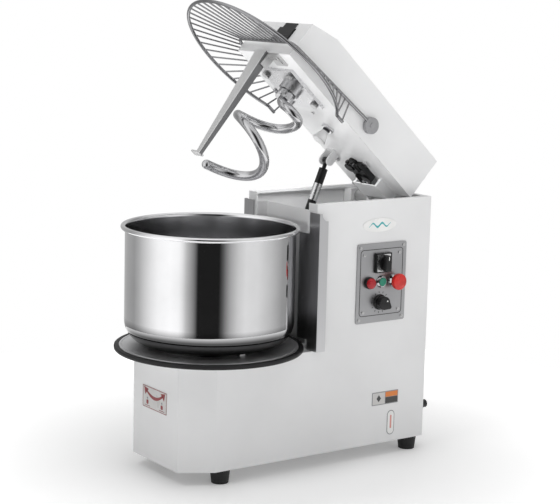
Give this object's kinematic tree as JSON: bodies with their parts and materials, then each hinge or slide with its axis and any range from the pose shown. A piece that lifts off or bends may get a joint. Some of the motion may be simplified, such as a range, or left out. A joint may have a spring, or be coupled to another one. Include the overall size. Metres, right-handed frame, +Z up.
{
  "type": "spiral dough mixer",
  "caption": "Floor-standing spiral dough mixer with a tilting head, a wire bowl guard, a spiral hook, a breaker bar and a removable bowl on a turntable.",
  "frame": {"origin": "on the floor, at the middle of the width and depth with the head raised", "axes": "+Z up, the front faces -Y, the control panel faces +X"},
  "size_m": [0.4479, 0.8188, 1.1044],
  "materials": {
    "white_paint": "satin",
    "polished_steel": "polished",
    "stainless": "brushed",
    "machined_steel": "machined",
    "cast_housing": "cast",
    "motor_paint": "satin",
    "pulley_iron": "machined",
    "black_rubber": "matte",
    "black_plastic": "moulded",
    "dark_steel": "satin",
    "grey_plastic": "moulded",
    "dark_red_plastic": "glossy",
    "green_plastic": "glossy",
    "red_plastic": "glossy",
    "label_film": "printed"
  },
  "bodies": {
    "frame": {"housing": "white_paint", "column_front_panel": "white_paint", "rear_cover": "white_paint", "base_plate": "stainless", "corner_strip_right": "stainless", "corner_strip_left": "stainless", "feet": "black_rubber", "cover_screws": "stainless", "control_panel": "stainless", "switch_plate": "black_plastic", "button_bezels": "polished_steel", "estop_collar": "black_plastic", "cable_gland": "black_plastic", "base_motor": "motor_paint", "base_gearbox": "cast_housing", "turntable_bearing": "machined_steel", "rest_pad": "stainless", "strut_lower_bracket": "stainless", "hinge_bearings": "white_paint", "hinge_shaft": "dark_steel", "drive_belt": "black_rubber", "labels": "label_film"},
    "turntable": {"turntable": "stainless", "turntable_rim": "black_rubber", "turntable_shaft": "machined_steel", "drive_lugs": "stainless"},
    "bowl": {"bowl": "polished_steel", "bowl_foot": "polished_steel"},
    "worm": {"base_worm": "machined_steel", "base_pulley": "pulley_iron"},
    "motor_rotor": {"motor_shaft": "machined_steel", "motor_pulley": "pulley_iron"},
    "head": {"head_casing": "white_paint", "head_base_plate": "white_paint", "hinge_arms": "white_paint", "head_gearbox": "cast_housing", "head_motor": "motor_paint", "bearing_flange": "stainless", "head_bolts": "stainless", "breaker_bar": "stainless", "breaker_bracket": "stainless", "rest_foot": "grey_plastic", "head_switch": "black_plastic", "front_handle": "black_plastic", "strut_upper_bracket": "white_paint"},
    "spiral": {"spiral_shaft": "machined_steel", "spiral_hook": "polished_steel", "spiral_clamp": "polished_steel"},
    "head_worm": {"head_worm": "machined_steel"},
    "strut_rod": {"strut_rod": "polished_steel"},
    "strut_cylinder": {"strut_cylinder": "dark_steel"},
    "guard": {"guard_ring": "polished_steel", "guard_frame": "polished_steel", "guard_wires": "polished_steel", "guard_pivots": "grey_plastic"},
    "switch_knob": {"switch_knob": "black_plastic"},
    "stop_button": {"stop_button": "dark_red_plastic"},
    "start_button": {"start_button": "green_plastic"},
    "estop_button": {"estop_button": "red_plastic"},
    "timer_knob": {"timer_knob": "black_plastic"}
  },
  "joints": [
    {"name": "head_tilt", "type": "hinge", "parent": "frame", "child": "head", "pos_m": [0, 0.33459, 0.612], "axis": [-1, 0, 0], "range_deg": [-43, 0], "stiffness_Nm_per_rad": 36, "springref_deg": 114.59},
    {"name": "guard_tilt", "type": "hinge", "parent": "head", "child": "guard", "pos_m": [0, 0.19097, 0.81429], "axis": [-1, 0, 0], "range_deg": [0, 55]},
    {"name": "turntable_spin", "type": "hinge", "parent": "frame", "child": "turntable", "pos_m": [0, -0.18541, 0.3], "axis": [0, 0, 1], "continuous": true},
    {"name": "bowl_lift", "type": "slide", "parent": "turntable", "child": "bowl", "axis": [0, 0, 1], "range_m": [0, 0.12]},
    {"name": "worm_spin", "type": "hinge", "parent": "frame", "child": "worm", "pos_m": [0, -0.13741, 0.175], "axis": [1, 0, 0], "continuous": true},
    {"name": "motor_spin", "type": "hinge", "parent": "frame", "child": "motor_rotor", "pos_m": [0, 0.23459, 0.172], "axis": [1, 0, 0], "continuous": true},
    {"name": "spiral_spin", "type": "hinge", "parent": "head", "child": "spiral", "pos_m": [0, 0.07887, 0.94481], "axis": [0, 0.682, 0.7314], "continuous": true},
    {"name": "head_worm_spin", "type": "hinge", "parent": "head", "child": "head_worm", "pos_m": [0.048, 0.07887, 0.94481], "axis": [0, 0.7314, -0.682], "continuous": true},
    {"name": "strut_swing", "type": "hinge", "parent": "frame", "child": "strut_rod", "pos_m": [-0.076, 0.07659, 0.4], "axis": [-1, 0, 0], "range_deg": [-0.2, 3.91]},
    {"name": "strut_slide", "type": "slide", "parent": "strut_rod", "child": "strut_cylinder", "axis": [0, 0.3788, 0.9255], "range_m": [-0.11935, 0.0005]},
    {"name": "switch_turn", "type": "hinge", "parent": "frame", "child": "switch_knob", "pos_m": [0.145, 0.21459, 0.486], "axis": [1, 0, 0], "range_deg": [0, 90]},
    {"name": "stop_press", "type": "slide", "parent": "frame", "child": "stop_button", "axis": [-1, 0, 0], "range_m": [0, 0.003], "stiffness_N_per_m": 800, "springref_m": -0.002},
    {"name": "start_press", "type": "slide", "parent": "frame", "child": "start_button", "axis": [-1, 0, 0], "range_m": [0, 0.003], "stiffness_N_per_m": 800, "springref_m": -0.002},
    {"name": "estop_press", "type": "slide", "parent": "frame", "child": "estop_button", "axis": [-1, 0, 0], "range_m": [0, 0.004]},
    {"name": "timer_turn", "type": "hinge", "parent": "frame", "child": "timer_knob", "pos_m": [0.145, 0.21059, 0.389], "axis": [1, 0, 0], "range_deg": [0, 270]}
  ],
  "couplings": [
    {"joint": "strut_swing", "follows": "head_tilt", "ratio": -0.086352},
    {"joint": "strut_slide", "follows": "head_tilt", "m_per_rad": 0.15836},
    {"joint": "worm_spin", "follows": "turntable_spin", "ratio": 20},
    {"joint": "motor_spin", "follows": "turntable_spin", "ratio": 35.385},
    {"joint": "head_worm_spin", "follows": "spiral_spin", "ratio": 20}
  ]
}
